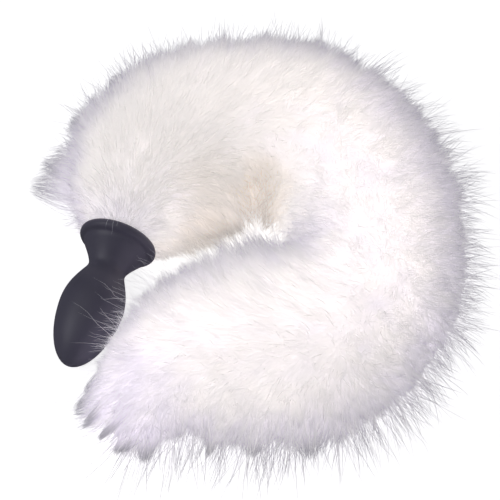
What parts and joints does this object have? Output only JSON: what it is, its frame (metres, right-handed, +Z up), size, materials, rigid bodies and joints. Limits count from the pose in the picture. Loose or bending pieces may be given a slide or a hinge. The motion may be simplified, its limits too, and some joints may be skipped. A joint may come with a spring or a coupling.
{
  "type": "fox tail butt plug",
  "caption": "Long curled faux fur fox tail on a flanged silicone butt plug, lying on a flat surface.",
  "frame": {"origin": "on the surface it lies on, under the middle of its bounding box", "axes": "+Z up from the surface, +Y away from the viewer, +X to the right of the picture"},
  "size_m": [0.2594, 0.2792, 0.0951],
  "materials": {
    "black_silicone": "matte",
    "stud_plastic": "plain",
    "white_fur": "long pile"
  },
  "bodies": {
    "root": {"silicone_plug": "black_silicone", "tail_post": "stud_plastic", "fur_tail": "white_fur"}
  },
  "joints": []
}
